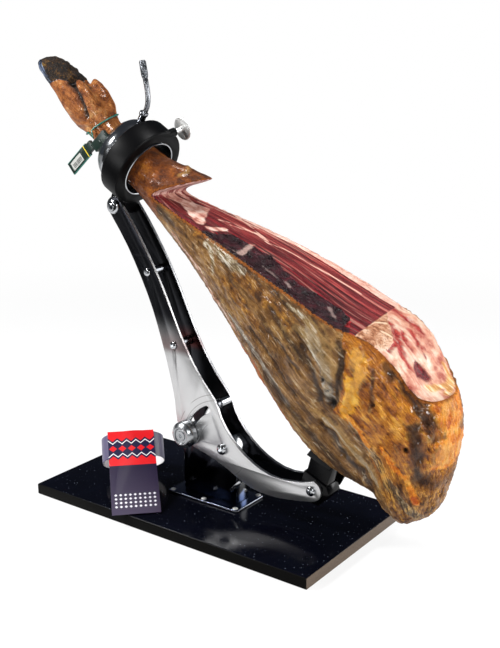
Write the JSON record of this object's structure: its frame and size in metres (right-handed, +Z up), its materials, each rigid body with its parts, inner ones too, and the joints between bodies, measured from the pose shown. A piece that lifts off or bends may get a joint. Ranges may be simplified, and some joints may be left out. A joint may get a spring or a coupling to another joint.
{
  "type": "cured ham in a carving stand",
  "caption": "Whole cured ham with its hoof, carved open along the top, clamped by the shank in a tilting steel carving stand on a polished stone board.",
  "frame": {"origin": "centre of the stone board's underside", "axes": "+X along the board from the hoof's side to the butt's side, +Y to the far side, +Z up"},
  "size_m": [0.6119, 0.2351, 0.5548],
  "materials": {
    "polished_stone": "polished",
    "polished_steel": "polished",
    "dark_steel": "satin",
    "black_enamel": "satin",
    "cured_meat": "oily",
    "green_cord": "gloss",
    "green_plastic": "gloss",
    "printed_card": "gloss"
  },
  "bodies": {
    "root": {"board": "polished_stone", "base_plate": "polished_steel", "base_screw_1": "polished_steel", "base_screw_2": "polished_steel", "base_screw_3": "polished_steel", "base_screw_4": "polished_steel", "base_screw_5": "polished_steel", "base_screw_6": "polished_steel", "bracket": "polished_steel", "stop_lug": "polished_steel", "lock_stud": "dark_steel", "pivot_bolt": "polished_steel", "collar_label": "printed_card"},
    "arm": {"arm_plate_near": "polished_steel", "arm_plate_far": "polished_steel", "spacer_1": "dark_steel", "spacer_2": "dark_steel", "spacer_screw_1_near": "polished_steel", "spacer_screw_1_far": "polished_steel", "spacer_screw_2_near": "polished_steel", "spacer_screw_2_far": "polished_steel", "bush_sleeve": "polished_steel", "bush_washers": "dark_steel", "head_bolt": "polished_steel", "foot_bolt": "polished_steel", "cradle_block": "black_enamel", "cradle_plate": "black_enamel"},
    "head": {"ring_housing": "black_enamel", "ring_sleeve": "polished_steel", "ham": "cured_meat", "tie": "green_cord", "tag": "green_plastic"},
    "knob": {"lock_knob": "polished_steel"},
    "lever": {"lever_rod": "dark_steel", "lever_grip": "dark_steel"},
    "clamp": {"clamp_screw": "polished_steel"}
  },
  "joints": [
    {"name": "arm_tilt", "type": "hinge", "parent": "root", "child": "arm", "pos_m": [0.024, 0, 0.0885], "axis": [0, -1, 0], "range_deg": [0, 47]},
    {"name": "head_swing", "type": "hinge", "parent": "arm", "child": "head", "pos_m": [-0.144, 0, 0.3746], "axis": [0, -1, 0], "range_deg": [0, 12]},
    {"name": "knob_turn", "type": "hinge", "parent": "root", "child": "knob", "pos_m": [-0.02712, -0.0265, 0.09955], "axis": [0, -1, 0], "range_deg": [0, 360]},
    {"name": "lever_turn", "type": "hinge", "parent": "head", "child": "lever", "pos_m": [-0.10763, -0.004, 0.47972], "axis": [0.515, 0, 0.8572], "range_deg": [-60, 60]},
    {"name": "clamp_turn", "type": "hinge", "parent": "head", "child": "clamp", "pos_m": [-0.07952, 0.02215, 0.46598], "axis": [0.1996, 0.9473, 0.2505], "range_deg": [0, 360]}
  ]
}
